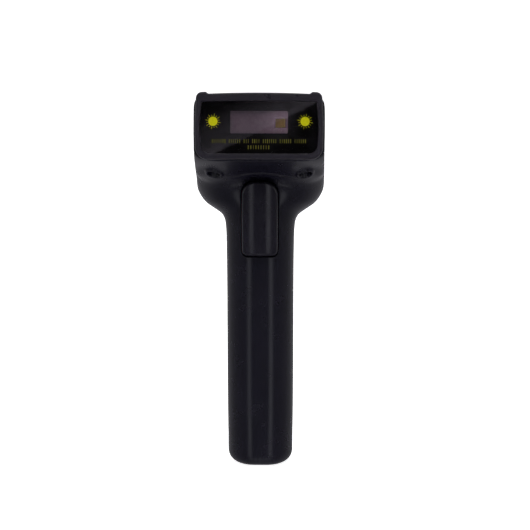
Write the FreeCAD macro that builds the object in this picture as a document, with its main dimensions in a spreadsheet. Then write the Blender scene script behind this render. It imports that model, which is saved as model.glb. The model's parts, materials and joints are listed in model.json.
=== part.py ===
"""Handheld pistol-grip laser barcode scanner, cordless, as separate parts.

Frame: millimetres. The origin is the centre of the flat base of the handle,
+Z runs up the handle, the scan window looks along -Y and +X is the object's
left-to-right as seen from the window side.  The head leans back: everything
in the head is laid out in its own upright frame and turned by head_tilt about
the X axis through the origin, so the window faces slightly upward when the
scanner stands on its handle.
"""
import FreeCAD, Part
import Sketcher
import math
import os

V = FreeCAD.Vector
os.makedirs("parts", exist_ok=True)
doc = FreeCAD.newDocument("BarcodeScanner")
sheet = doc.addObject("Spreadsheet::Sheet", "Dims")

# ---------------------------------------------------------------- dimensions
DIMS = [
    ("head_tilt", 12, "lean of the head frame, degrees"),
    ("wall", 2.0, "wall of the two housing shells"),
    ("floor_gap", 2.5, "thickness of the handle floor"),
    ("bezel_back", 73.0, "plane where the bezel meets the shells (distance toward the window)"),
    ("bezel_front", 80.0, "front plane of the bezel"),
    ("bezel_low", 148.0, "lower edge of the bezel"),
    ("part_plane", 1.0, "parting plane of the handle halves"),
    ("part_height", 152.0, "parting line on the side of the head"),
    ("part_bend", 22.0, "bend radius of the parting line"),
    ("slot_half", 9.2, "half width of the trigger slot"),
    ("slot_low", 108.5, "lower end of the trigger slot"),
    ("slot_high", 148.8, "upper end of the trigger slot"),
    ("pivot_back", -14.0, "trigger pivot, depth"),
    ("pivot_height", 150.0, "trigger pivot, height"),
    ("pin_dia", 3.0, "trigger pivot pin"),
    ("pin_length", 24.0, "trigger pivot pin length"),
    ("pin_fit", 0.05, "radial clearance of the trigger on its pin"),
    ("nose_height", 120.0, "height of the trigger nose and switch"),
    ("plunger_dia", 3.0, "switch plunger diameter"),
    ("plunger_front", -12.95, "front end of the plunger at rest"),
    ("plunger_length", 5.95, "plunger length"),
    ("screw_x", 22.0, "head screws, sideways"),
    ("screw_y", -58.0, "head screws, depth in the head frame"),
    ("screw_seat", 150.0, "seat of the head screws in the head frame"),
    ("screw_dia", 2.6, "head and handle screw thread"),
    ("head_dia", 4.8, "screw head diameter"),
    ("handle_screw_low", 21.5, "lower handle screw"),
    ("handle_screw_high", 99.0, "upper handle screw"),
    ("cell_dia", 18.4, "battery cell diameter"),
    ("cell_length", 65.0, "battery cell length"),
    ("cell_low", 28.0, "bottom of the battery cell"),
    ("cell_y", -3.0, "battery cell centre, depth"),
    ("socket_y", 6.5, "charging socket centre, depth"),
    ("socket_width", 8.0, "charging socket width"),
    ("socket_depth", 3.0, "charging socket thickness"),
    ("board_thick", 1.2, "small circuit boards"),
    ("board_low", 150.0, "underside of the main board, head frame"),
    ("main_thick", 1.6, "main board thickness"),
    ("optic_height", 166.0, "height of the laser axis, head frame"),
    ("mirror_x", 9.8, "scan mirror centre, sideways"),
    ("mirror_y", -69.5, "scan mirror centre, depth"),
    ("mirror_wide", 6.4, "scan mirror width"),
    ("mirror_tall", 4.2, "scan mirror height"),
    ("pivot_dia", 1.2, "scan mirror pivot pin"),
    ("barrel_dia", 6.0, "laser module barrel"),
    ("glass_thick", 1.5, "scan window thickness"),
    ("glass_front", 78.6, "front face of the window"),
]

# Cross sections of the outer form, bottom to top. Each is a rounded
# rectangle on a plane through the X direction: height where the plane meets
# the Z axis, lean of the plane, half width, reach to the front, reach to the
# rear, front corner radius, rear corner radius.
NAMES = ("height", "lean", "half", "front", "rear", "frontround", "rearround")
FOOT = [
    (0.0, 0, 10.60, 12.50, 12.80, 7.6, 7.6),
    (0.45, 0, 11.85, 13.75, 14.05, 8.85, 8.85),
    (1.5, 0, 13.45, 15.35, 15.65, 10.45, 10.45),
    (3.2, 0, 14.90, 16.75, 17.10, 11.9, 11.9),
    (5.2, 0, 15.80, 17.70, 18.00, 12.8, 12.8),
    (7.6, 0, 16.22, 18.10, 18.45, 13.2, 13.2),
]
HANDLE = [
    FOOT[-1],
    (29, 0, 16.3, 18.4, 18.9, 13.2, 13.2),
    (58, 0, 16.3, 18.9, 19.3, 13.2, 13.2),
    (87, 1, 16.3, 19.3, 18.6, 13.2, 13.2),
    (116, 8, 16.6, 19.7, 17.2, 13.2, 13.2),
]
HEAD = [
    HANDLE[-1],
    (120, 10, 16.85, 19.7, 17.3, 13.4, 13.4),
    (123.5, 11.4, 17.4, 19.7, 18.0, 13.8, 13.8),
    (126.5, 12, 18.9, 19.7, 19.2, 14.5, 14.5),
    (129.5, 12, 22.9, 19.7, 21.5, 15.0, 16),
    (132.5, 12, 26.8, 19.8, 24.5, 15.3, 18),
    (136, 12, 29.3, 20.1, 27.6, 15.5, 20),
    (140, 12, 30.7, 20.9, 30.2, 15.5, 21),
    (143, 12, 31.15, 22.5, 31.6, 15, 22),
    (145.3, 12, 31.3, 25.4, 32.4, 14.2, 22),
    (147.3, 12, 31.4, 30.4, 32.8, 13.3, 22),
    (149.3, 12, 31.45, 36.8, 33.2, 12.2, 22),
    (151.3, 12, 31.5, 42.5, 33.4, 11.2, 22),
    (154, 12, 31.55, 46.9, 33.5, 10, 22),
    (159, 12, 31.6, 49.4, 33.0, 9, 22),
    (165, 12, 31.6, 49.8, 30.6, 9, 22),
    (171, 12, 31.55, 49.4, 26.2, 9, 21),
    (175.5, 12, 31.4, 48.6, 21.0, 9, 20),
    (179, 12, 30.9, 47.3, 14.6, 9, 18),
    (181.5, 12, 29.6, 45.6, 8.0, 9, 15),
    (183.3, 12, 27.2, 43.2, 0.5, 9, 11),
]
# How far each head section moves along Z for the inner surface, so that the
# wall stays about even where the outer surface is oblique.
HEAD_SHIFT = [0, 0.4, 0.9, 1.2, 1.2, 1.2, 1.2, 1.3, 1.4, 1.6, 1.8, 1.8, 1.8,
              1.5, 0.7, 0, -0.7, -1.2, -1.7, -1.9, -2.0]
FOOT_IN = [
    (2.5, 0, 11.20, 13.10, 13.40, 8.2, 8.2),
    (3.1, 0, 12.35, 14.25, 14.55, 9.35, 9.35),
    (4.4, 0, 13.45, 15.35, 15.65, 10.45, 10.45),
    (7.6, 0, 14.22, 16.10, 16.45, 11.2, 11.2),
]
TRIGGER = [
    (109.7, 0, 7.3, 22.5, -12.0, 3.0, 0.8),
    (110.3, 0, 8.0, 23.4, -12.0, 3.7, 0.8),
    (111.5, 0, 8.5, 24.0, -12.0, 4.2, 0.8),
    (114.0, 0, 8.72, 24.4, -12.0, 4.4, 0.8),
    (119, 0, 8.75, 24.6, -12.0, 4.5, 0.8),
    (124, 0, 8.75, 24.9, -12.0, 4.5, 0.8),
    (130, 0, 8.75, 25.2, -12.0, 4.5, 0.8),
    (136, 0, 8.74, 25.4, -12.0, 4.5, 0.8),
    (140.5, 0, 8.65, 25.4, -12.0, 4.5, 0.8),
    (143.5, 0, 8.4, 25.0, -12.0, 4.5, 0.8),
    (145.8, 0, 7.9, 24.2, -12.0, 4.4, 0.8),
    (147.3, 0, 7.1, 22.9, -12.0, 4.0, 0.8),
    (148.2, 0, 6.1, 21.4, -12.0, 3.4, 0.8),
]

row = [1]


def put_dim(alias, value, note):
    sheet.set("A%d" % row[0], note)
    sheet.set("B%d" % row[0], repr(float(value)))
    sheet.setAlias("B%d" % row[0], alias)
    row[0] += 1


for alias, value, note in DIMS:
    put_dim(alias, value, note)
for tag, table in (("foot", FOOT), ("grip", HANDLE), ("head", HEAD),
                   ("toe", FOOT_IN), ("lever", TRIGGER)):
    for i, sec in enumerate(table):
        for name, value in zip(NAMES, sec):
            put_dim("%s_%02d_%s" % (tag, i, name), value,
                    "%s section %d, %s" % (tag, i, name))
for i, value in enumerate(HEAD_SHIFT):
    put_dim("shift_%02d_inner" % i, value, "inner surface, section %d moves by" % i)
doc.recompute()


def d(alias):
    """A driving dimension, read back from the sheet."""
    return float(sheet.get(alias))


TILT = d("head_tilt")
HEAD_PL = FreeCAD.Placement(V(0, 0, 0), FreeCAD.Rotation(V(1, 0, 0), -TILT))


def rowy(y, z):
    """Depth in the handle frame of a point given in the head frame."""
    a = math.radians(TILT)
    return y * math.cos(a) + z * math.sin(a)


def rowz(y, z):
    a = math.radians(TILT)
    return -y * math.sin(a) + z * math.cos(a)


# ------------------------------------------------------------------- helpers
def bind(obj, prop, value):
    """Set a number, or bind a text expression of sheet cells."""
    if isinstance(value, str):
        obj.setExpression(prop, value)
        return
    if prop.startswith(".Placement.Base."):
        pl = obj.Placement
        base = pl.Base
        setattr(base, prop[-1], value)
        obj.Placement = FreeCAD.Placement(base, pl.Rotation)
    else:
        setattr(obj, prop, value)


def lean(obj):
    """Turn an object of the head frame into the handle frame."""
    obj.Placement = FreeCAD.Placement(V(0, 0, 0), FreeCAD.Rotation(V(1, 0, 0), -12))
    obj.setExpression(".Placement.Rotation.Angle", "-Dims.head_tilt")


def body(label, head=False):
    b = doc.addObject("PartDesign::Body", label)
    b.Label = label
    if head:
        lean(b)
    return b


def plane(b, role):
    return [f for f in b.Origin.OriginFeatures if f.Role == role][0]


def num(v):
    return str(v) if isinstance(v, str) else repr(float(v))


def prim(b, name, kind, props, at=(0, 0, 0), axis="z", turn=0.0):
    """A PartDesign primitive of body b. at is its base point, axis the way
    its own Z points and turn a rotation about the body's Z."""
    p = b.newObject("PartDesign::" + kind, name)
    rot = {"z": FreeCAD.Rotation(), "x": FreeCAD.Rotation(V(0, 1, 0), 90),
           "y": FreeCAD.Rotation(V(1, 0, 0), -90),
           "-y": FreeCAD.Rotation(V(1, 0, 0), 90)}[axis]
    if turn:
        rot = FreeCAD.Rotation(V(0, 0, 1), turn).multiply(rot)
    p.AttachmentSupport = [(plane(b, "XY_Plane"), "")]
    p.MapMode = "Deactivated"
    p.Placement = FreeCAD.Placement(V(0, 0, 0), rot)
    for k, v in props.items():
        bind(p, k, v)
    for k, v in zip("xyz", at):
        bind(p, ".Placement.Base." + k, v)
    return p


def box(b, name, xs, ys, zs, cut=False, turn=0.0):
    """A block from low to high corner; each bound is a number or a formula."""
    def size(pair):
        lo, hi = pair
        if isinstance(lo, str) or isinstance(hi, str):
            return "(%s)-(%s)" % (num(hi), num(lo))
        return hi - lo
    return prim(b, name, "SubtractiveBox" if cut else "AdditiveBox",
                {"Length": size(xs), "Width": size(ys), "Height": size(zs)},
                (xs[0], ys[0], zs[0]), "z", turn)


def cyl(b, name, dia, length, at, axis="z", cut=False, turn=0.0):
    half = "(%s)/2" % dia if isinstance(dia, str) else dia / 2.0
    return prim(b, name, "SubtractiveCylinder" if cut else "AdditiveCylinder",
                {"Radius": half, "Height": length}, at, axis, turn)


def sketch(b, name, role, edges, offset=0.0):
    """A closed outline: ("L", p, q) lines and ("A", p, m, q) arcs."""
    sk = b.newObject("Sketcher::SketchObject", name)
    sk.AttachmentSupport = [(plane(b, role), "")]
    sk.MapMode = "FlatFace"
    sk.AttachmentOffset = FreeCAD.Placement(V(0, 0, 0), FreeCAD.Rotation())
    if isinstance(offset, str):
        sk.setExpression(".AttachmentOffset.Base.z", offset)
    else:
        sk.AttachmentOffset = FreeCAD.Placement(V(0, 0, offset), FreeCAD.Rotation())
    geo = []
    for e in edges:
        pts = [V(p[0], p[1], 0) for p in e[1:]]
        if e[0] == "L":
            geo.append(Part.LineSegment(pts[0], pts[1]))
        else:
            geo.append(Part.Arc(pts[0], pts[1], pts[2]))
    sk.addGeometry(geo, False)
    return sk


def poly(points):
    return [("L", points[i], points[(i + 1) % len(points)]) for i in range(len(points))]


def rounded(x0, x1, y0, y1, r):
    """Edges of a rectangle with rounded corners."""
    k = r * (1 - math.sqrt(0.5))
    return [("L", (x0 + r, y0), (x1 - r, y0)),
            ("A", (x1 - r, y0), (x1 - k, y0 + k), (x1, y0 + r)),
            ("L", (x1, y0 + r), (x1, y1 - r)),
            ("A", (x1, y1 - r), (x1 - k, y1 - k), (x1 - r, y1)),
            ("L", (x1 - r, y1), (x0 + r, y1)),
            ("A", (x0 + r, y1), (x0 + k, y1 - k), (x0, y1 - r)),
            ("L", (x0, y1 - r), (x0, y0 + r)),
            ("A", (x0, y0 + r), (x0 + k, y0 + k), (x0 + r, y0))]


def pad(b, name, sk, length, cut=False, mid=False, rev=False):
    p = b.newObject("PartDesign::Pocket" if cut else "PartDesign::Pad", name)
    p.Profile = sk
    if isinstance(length, str):
        p.setExpression("Length", length)
    else:
        p.Length = length
    p.Midplane = mid
    p.Reversed = rev
    return p


def form(name, table, tag, inset="0", shift=None):
    """A smooth loft through the rounded-rectangle sections of one table."""
    b = body(name)
    doc.recompute()
    xy = plane(b, "XY_Plane")
    sks = []
    for i, (t, phi, hx, sf, sb, rf, rb) in enumerate(table):
        sk = b.newObject("Sketcher::SketchObject", "%s_s%02d" % (name, i))
        sk.AttachmentSupport = [(xy, "")]
        sk.MapMode = "FlatFace"
        sk.AttachmentOffset = FreeCAD.Placement(V(0, 0, t), FreeCAD.Rotation(V(1, 0, 0), -phi))
        key = "Dims.%s_%02d_" % (tag, i)
        lift = "" if shift is None else " + Dims.shift_%02d_inner" % i
        sk.setExpression(".AttachmentOffset.Base.z", key + "height" + lift)
        a = float(d("wall")) if inset != "0" else 0.0
        hx, sf, sb, rf, rb = hx - a, sf - a, sb - a, rf - a, rb - a
        P = [(-hx + rf, -sf), (hx - rf, -sf), (hx, -sf + rf), (hx, sb - rb),
             (hx - rb, sb), (-hx + rb, sb), (-hx, sb - rb), (-hx, -sf + rf)]
        P = [V(x, y, 0) for x, y in P]
        C = [V(hx - rf, -sf + rf, 0), V(hx - rb, sb - rb, 0),
             V(-hx + rb, sb - rb, 0), V(-hx + rf, -sf + rf, 0)]
        R = [rf, rb, rb, rf]
        geo = []
        for k in range(4):
            geo.append(Part.LineSegment(P[2 * k], P[2 * k + 1]))
            a0 = [-90, 0, 90, 180][k]
            geo.append(Part.ArcOfCircle(Part.Circle(C[k], V(0, 0, 1), R[k]),
                                        math.radians(a0), math.radians(a0 + 90)))
        sk.addGeometry(geo, False)
        con = [Sketcher.Constraint("Tangent", k, 2, (k + 1) % 8, 1) for k in range(8)]
        con += [Sketcher.Constraint("Horizontal", 0), Sketcher.Constraint("Vertical", 2),
                Sketcher.Constraint("Horizontal", 4), Sketcher.Constraint("Vertical", 6),
                Sketcher.Constraint("Equal", 3, 5), Sketcher.Constraint("Equal", 1, 7)]
        sk.addConstraint(con)
        drive = [("frontround", Sketcher.Constraint("Radius", 1, rf)),
                 ("rearround", Sketcher.Constraint("Radius", 3, rb)),
                 ("half", Sketcher.Constraint("DistanceX", -1, 1, 2, 1, hx)),
                 ("halfleft", Sketcher.Constraint("DistanceX", 6, 1, -1, 1, hx)),
                 ("front", Sketcher.Constraint("DistanceY", 0, 1, -1, 1, sf))]
        if sb > 0:
            drive.append(("rear", Sketcher.Constraint("DistanceY", -1, 1, 4, 1, sb)))
        else:
            drive.append(("rear", Sketcher.Constraint("DistanceY", 4, 1, -1, 1, -sb)))
        for cname, c in drive:
            k = sk.addConstraint(c)
            sk.renameConstraint(k, cname)
            col = "half" if cname == "halfleft" else cname
            sign = "-" if (cname == "rear" and sb <= 0) else ""
            take = "" if inset == "0" else " - " + inset
            expr = "%s(%s%s%s)" % (sign, key, col, take)
            sk.setExpression("Constraints." + cname, expr)
        sks.append(sk)
    lo = b.newObject("PartDesign::AdditiveLoft", name + "_loft")
    lo.Profile = sks[0]
    lo.Sections = sks[1:]
    lo.Ruled = False
    return b


def fuse(label, *objs):
    f = doc.addObject("Part::MultiFuse", label)
    f.Shapes = list(objs)
    f.Label = label
    return f


def common(label, a, b):
    f = doc.addObject("Part::Common", label)
    f.Base, f.Tool = a, b
    f.Label = label
    return f


def cut(label, a, b):
    f = doc.addObject("Part::Cut", label)
    f.Base, f.Tool = a, b
    f.Label = label
    return f


NODES = []


def node(obj, label=None):
    if label:
        obj.Label = label
    NODES.append(obj)
    return obj


# ------------------------------------------------------------- housing form
outer = fuse("form_outer", form("form_foot", FOOT, "foot"),
             form("form_grip", HANDLE, "grip"), form("form_head", HEAD, "head"))
inner = fuse("form_inner", form("void_foot", FOOT_IN, "toe"),
             form("void_grip", HANDLE, "grip", "Dims.wall"),
             form("void_head", HEAD, "head", "Dims.wall", HEAD_SHIFT))

# The mouth of the head: everything in front of the bezel plane goes.
mouth = body("mouth_block", True)
box(mouth, "mouth_cut", (-40, 40), (-120, "-Dims.bezel_back"), (100, 220))
outer_cut = cut("form_trimmed", outer, mouth)
shell = cut("form_shell", outer_cut, inner)

# Front region: below and ahead of the parting line (side view outline).
region = body("front_region")
doc.recompute()
pp, ph, pr = d("part_plane"), d("part_height"), d("part_bend")
a = math.radians(TILT)
ycross = pp
zcross = (ph - pp * math.sin(a)) / math.cos(a)
tan_len = pr * math.tan((math.pi / 2 - a) / 2)
p_in = (pp, zcross - tan_len)
p_out = (pp - tan_len * math.cos(a), zcross + tan_len * math.sin(a))
mid_dir = (math.cos((math.pi / 2 - a) / 2), math.sin((math.pi / 2 - a) / 2))
centre = (pp - pr, zcross - tan_len)
p_mid = (centre[0] + pr * mid_dir[0], centre[1] + pr * mid_dir[1])
far = (rowy(-110, ph), rowz(-110, ph))
sk = sketch(region, "parting_line", "YZ_Plane", [
    ("L", (pp, -10), p_in), ("A", p_in, p_mid, p_out), ("L", p_out, far),
    ("L", far, (far[0], -10)), ("L", (far[0], -10), (pp, -10))])
pad(region, "parting_pad", sk, 90, mid=True)

# ------------------------------------------------------------ front housing
fa = body("front_posts_head", True)
for sx, tag in ((1, "a"), (-1, "b")):
    cyl(fa, "screw_post_" + tag, 8.0, 24, ("%d*Dims.screw_x" % sx, "Dims.screw_y", 134))
    cyl(fa, "engine_post_" + tag, 5.0, 18, (sx * 13.0, -55.2, 134))
fb = body("front_posts_grip")
for k, tag in (("low", "a"), ("high", "b")):
    cyl(fb, "grip_post_" + tag, 5.6, "30+Dims.part_plane", (0, -30, "Dims.handle_screw_" + k), "y")
for sx, tag in ((1, "a"), (-1, "b")):
    xs = (10.0, 12.6) if sx > 0 else (-12.6, -10.0)
    box(fb, "bearing_" + tag, xs, (-27, -10.2), (143.5, 155.5))
doc.recompute()
front_raw = common("front_shell", shell, region)
front_full = fuse("front_filled", front_raw,
                  common("front_posts_a", fa, outer_cut), common("front_posts_b", fb, outer_cut))
fc = body("front_holes_head", True)
for sx, tag in ((1, "a"), (-1, "b")):
    at = ("%d*Dims.screw_x" % sx, "Dims.screw_y")
    cyl(fc, "recess_" + tag, 6.4, "Dims.screw_seat-126", at + (126,))
    cyl(fc, "shank_" + tag, "Dims.screw_dia+0.3", 12, at + ("Dims.screw_seat-1",))
    cyl(fc, "engine_pilot_" + tag, 1.94, 7.0, (sx * 13.0, -55.2, 146.0))
fd = body("front_holes_grip")
doc.recompute()
sl, sh, sw = d("slot_low"), d("slot_high"), d("slot_half")
sk = sketch(fd, "slot_outline", "XZ_Plane", rounded(-sw, sw, sl, sh, 3.4), 11.0)
pad(fd, "slot_cut", sk, 40)
cyl(fd, "pin_bore", "Dims.pin_dia", "Dims.pin_length+0.4",
    ("-Dims.pin_length/2-0.2", "Dims.pivot_back", "Dims.pivot_height"), "x")
for k, tag in (("low", "a"), ("high", "b")):
    cyl(fd, "grip_pilot_" + tag, 2.24, "10+Dims.part_plane", (0, -10, "Dims.handle_screw_" + k), "y")
front_housing = node(cut("front_housing", front_full, fuse("front_holes", fc, fd)), "front_housing")

# ------------------------------------------------------------- rear housing
ra = body("rear_posts_head", True)
for sx, tag in ((1, "a"), (-1, "b")):
    cyl(ra, "screw_boss_" + tag, 7.0, 30, ("%d*Dims.screw_x" % sx, "Dims.screw_y", 158))
    cyl(ra, "board_post_front_" + tag, 5.0, 34, (sx * 20.5, -43.0, "Dims.board_low+Dims.main_thick"))
    cyl(ra, "board_post_rear_" + tag, 5.0, 34, (sx * 18.5, -15.0, "Dims.board_low+Dims.main_thick"))
rb = body("rear_posts_grip")
for k, tag in (("low", "a"), ("high", "b")):
    cyl(rb, "grip_boss_" + tag, 7.6, 30, (0, "Dims.part_plane", "Dims.handle_screw_" + k), "y")
for sx, tag in ((1, "a"), (-1, "b")):
    cyl(rb, "switch_post_" + tag, 4.6, 30, (sx * 5.4, -3.4, 113.6), "y")
    xs = (9.0, 12.4) if sx > 0 else (-12.4, -9.0)
    box(rb, "socket_rail_" + tag, xs, (6.2, 20), (2.0, 17.4))
box(rb, "cradle_rib_a", (-8.5, 8.5), (8.0, 25), (40, 42))
box(rb, "cradle_rib_b", (-8.5, 8.5), (8.0, 25), (80, 82))
doc.recompute()
rear_raw = cut("rear_shell", shell, region)
rear_full = fuse("rear_filled", rear_raw,
                 common("rear_posts_a", ra, outer_cut), common("rear_posts_b", rb, outer_cut))
rc = body("rear_holes_head", True)
for sx, tag in ((1, "a"), (-1, "b")):
    cyl(rc, "boss_pilot_" + tag, "Dims.screw_dia-0.36", 13, ("%d*Dims.screw_x" % sx, "Dims.screw_y", 157))
    cyl(rc, "post_pilot_front_" + tag, 1.64, 8, (sx * 20.5, -43.0, "Dims.board_low+1"))
    cyl(rc, "post_pilot_rear_" + tag, 1.64, 8, (sx * 18.5, -15.0, "Dims.board_low+1"))
box(rc, "lens_hole", (-4.6, 4.6), (-41.9, -38.1), (170, 190))
for i in range(5):
    box(rc, "sound_slot_%d" % i, (-8.3 + 3.8 * i, -6.9 + 3.8 * i), (-12, 12), (154.5, 162.0))
rd = body("rear_holes_grip")
for k, tag in (("low", "a"), ("high", "b")):
    cyl(rd, "grip_recess_" + tag, 5.6, 30, (0, 6.5, "Dims.handle_screw_" + k), "y")
    cyl(rd, "grip_shank_" + tag, "Dims.screw_dia+0.3", 12, (0, -1, "Dims.handle_screw_" + k), "y")
for sx, tag in ((1, "a"), (-1, "b")):
    cyl(rd, "switch_pilot_" + tag, 1.64, 8, (sx * 5.4, -4.0, 113.6), "y")
box(rd, "socket_slot", ("-Dims.socket_width/2-0.25", "Dims.socket_width/2+0.25"),
    ("Dims.socket_y-Dims.socket_depth/2-0.25", "Dims.socket_y+Dims.socket_depth/2+0.25"), (-2, 6))
box(rd, "rail_groove", (-10.4, 10.4), (8.0, "8.0+Dims.board_thick"), (2.6, 18))
rear_housing = node(cut("rear_housing", rear_full, fuse("rear_holes", rc, rd)), "rear_housing")

# ------------------------------------------------------------------- bezel
bz = node(body("front_bezel", True))
doc.recompute()
bl = d("bezel_low")
top = [("A", (23.6, 179.2), (0, 179.7), (-23.6, 179.2))]
outline = [
    ("L", (-24.3, bl), (24.3, bl)),
    ("A", (24.3, bl), (28.55, bl + 1.72), (30.35, bl + 6.1)),
    ("A", (30.35, bl + 6.1), (30.75, 165.0), (30.05, 177.6)),
    ("A", (30.05, 177.6), (29.35, 179.35), (27.6, 180.1)),
    ("L", (27.6, 180.1), (24.9, 180.1)),
    ("L", (24.9, 180.1), (23.6, 179.2))] + top + [
    ("L", (-23.6, 179.2), (-24.9, 180.1)),
    ("L", (-24.9, 180.1), (-27.6, 180.1)),
    ("A", (-27.6, 180.1), (-29.35, 179.35), (-30.05, 177.6)),
    ("A", (-30.05, 177.6), (-30.75, 165.0), (-30.35, bl + 6.1)),
    ("A", (-30.35, bl + 6.1), (-28.55, bl + 1.72), (-24.3, bl))]
sk = sketch(bz, "bezel_outline", "XZ_Plane", outline, "Dims.bezel_back")
pad(bz, "bezel_pad", sk, "Dims.bezel_front-Dims.bezel_back")
doc.recompute()
rib = sketch(bz, "rib_outline", "XZ_Plane", rounded(-27, 27, 151.6, 175, 4.0), "Dims.bezel_back-3")
pad(bz, "bezel_rib", rib, 3.2)


def glass_edges(g, w0=27.0, w1=28.0, w2=27.4, z0=151.0, z1=175.7):
    """Window outline grown by g: bulging sides, tight top corners."""
    rbm, rtp = 4.1, 0.8
    kb, kt = rbm * (1 - math.sqrt(0.5)), rtp * (1 - math.sqrt(0.5))
    z0, z1, w0, w1, w2 = z0 - g, z1 + g, w0 + g, w1 + g, w2 + g
    return [
        ("A", (-(w2 - rbm), z0), (0, z0 - 0.25), (w2 - rbm, z0)),
        ("A", (w2 - rbm, z0), (w2 - kb, z0 + kb), (w2, z0 + rbm)),
        ("A", (w2, z0 + rbm), (w1, 163.5), (w0, z1 - rtp)),
        ("A", (w0, z1 - rtp), (w0 - kt, z1 - kt), (w0 - rtp, z1)),
        ("A", (w0 - rtp, z1), (0, z1 + 0.25), (-(w0 - rtp), z1)),
        ("A", (-(w0 - rtp), z1), (-(w0 - kt), z1 - kt), (-w0, z1 - rtp)),
        ("A", (-w0, z1 - rtp), (-w1, 163.5), (-w2, z0 + rbm)),
        ("A", (-w2, z0 + rbm), (-(w2 - kb), z0 + kb), (-(w2 - rbm), z0))]


seat = sketch(bz, "glass_seat", "XZ_Plane", glass_edges(0.1), 76.3)
pad(bz, "glass_pocket", seat, 10, cut=True, rev=True)
mouthsk = sketch(bz, "rear_mouth", "XZ_Plane", rounded(-25, 25, 153.2, 173.6, 2.5), 60)
pad(bz, "mouth_pocket", mouthsk, 30, cut=True, rev=True)

gl = node(body("scan_window", True))
doc.recompute()
pad(gl, "glass_pad", sketch(gl, "glass_outline", "XZ_Plane", glass_edges(0.0),
                            "Dims.glass_front-Dims.glass_thick"), "Dims.glass_thick")
mk = node(body("window_mask", True))
doc.recompute()
pad(mk, "mask_pad", sketch(mk, "mask_outline", "XZ_Plane", glass_edges(-0.15), 76.9), 0.2)
doc.recompute()
pad(mk, "mask_clear", sketch(mk, "clear_outline", "XZ_Plane", rounded(-13.6, 13.6, 160.5, 171.1, 0.6), 76),
    3, cut=True, rev=True)
gk = node(body("window_gasket", True))
doc.recompute()
pad(gk, "gasket_pad", sketch(gk, "gasket_outline", "XZ_Plane", glass_edges(-0.15), 76.3), 0.6)
doc.recompute()
pad(gk, "gasket_clear", sketch(gk, "gasket_mouth", "XZ_Plane", rounded(-25, 25, 153.2, 173.6, 2.5), 75),
    4, cut=True, rev=True)

# Light baffle behind the window: a thin plate with the exit aperture.
bf = node(body("light_baffle", True))
doc.recompute()
pad(bf, "baffle_pad", sketch(bf, "baffle_outline", "XZ_Plane", rounded(-21, 21, 156.5, 172.6, 1.5), 74.4), 1.0)
doc.recompute()
pad(bf, "baffle_port", sketch(bf, "port_outline", "XZ_Plane", rounded(7.2, 12.4, 163.6, 168.4, 0.5), 70), 10,
    cut=True, rev=True)
box(bf, "baffle_leg_a", (-20.5, -18.5), (-74.4, -71.4), (157.5, 171.5))
box(bf, "baffle_leg_b", (18.5, 20.5), (-74.4, -71.4), (157.5, 171.5))
box(bf, "baffle_foot_a", (-24.9, -18.5), (-72.4, -71.4), (160.5, 168.5))
box(bf, "baffle_foot_b", (18.5, 24.9), (-72.4, -71.4), (160.5, 168.5))

# ------------------------------------------------------------ scan engine
OZ = d("optic_height")
MX, MY = d("mirror_x"), d("mirror_y")
q = math.sqrt(0.5)
PX, PY = MX + 2.6 * q, MY + 2.6 * q     # pivot pin of the scan mirror

ef = node(body("engine_frame", True))
box(ef, "deck", (-16, 16), (-69.8, -50.6), (152.0, 153.6))
box(ef, "laser_cradle", (-14.6, -4.6), (-72.9, -66.1), (153.6, 167.0))
cyl(ef, "laser_saddle", "Dims.barrel_dia", 14, (-16, "Dims.mirror_y", "Dims.optic_height"), "x", cut=True)
box(ef, "saddle_slot", (-16, -2), (-72.5, -66.5), ("Dims.optic_height", 175), cut=True)
box(ef, "collector_post", (-3.6, 0.4), (-72.0, -64.0), (153.6, 161.4))
cyl(ef, "pivot_boss", 4.4, 3.4, (PX, PY, 153.6))
cyl(ef, "pivot_bore", "Dims.pivot_dia", 8, (PX, PY, 151.0), cut=True)
box(ef, "coil_rest", (8.0, 15.2), (-60.6, -57.8), (153.6, 155.0))
box(ef, "board_stop_a", (-15.8, -14.0), (-53.4, -52.0), (153.6, 171.0))
box(ef, "board_stop_b", (14.0, 15.8), (-53.4, -52.0), (155.2, 171.0))
box(ef, "board_stop_c", (15.0, 15.8), (-53.4, -52.0), (153.6, 155.3))
for sx, tag in ((1, "a"), (-1, "b")):
    cyl(ef, "mount_hole_" + tag, 2.3, 6, (sx * 13.0, -55.2, 150), cut=True)

lm = node(body("laser_module", True))
cyl(lm, "barrel", "Dims.barrel_dia", 9.6, (-14.2, "Dims.mirror_y", "Dims.optic_height"), "x")
cyl(lm, "barrel_collar", 4.4, 1.6, (-15.8, "Dims.mirror_y", "Dims.optic_height"), "x")
cyl(lm, "lens_bore", 3.6, 4, (-6.2, "Dims.mirror_y", "Dims.optic_height"), "x", cut=True)
cyl(lm, "beam_bore", 1.6, 8, (-12.2, "Dims.mirror_y", "Dims.optic_height"), "x", cut=True)
ll = node(body("laser_lens", True))
cyl(ll, "lens_disc", 3.6, 1.4, (-6.2, "Dims.mirror_y", "Dims.optic_height"), "x")

sm = node(body("scan_mirror", True))
hw, ht = "Dims.mirror_wide", "Dims.mirror_tall"
# plate standing on edge, turned 45 degrees: it faces the laser and the window
p = prim(sm, "mirror_plate", "AdditiveBox", {"Length": hw, "Width": 0.7, "Height": ht}, (0, 0, 0), "z", -45.0)


def diag(u, w):
    """Point at u along the mirror and w behind its face."""
    return (MX + u * q + w * q, MY - u * q + w * q)


x0, y0 = diag(-d("mirror_wide") / 2, 0.0)
bind(p, ".Placement.Base.x", x0)
bind(p, ".Placement.Base.y", y0)
bind(p, ".Placement.Base.z", "Dims.optic_height-Dims.mirror_tall/2")

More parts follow.
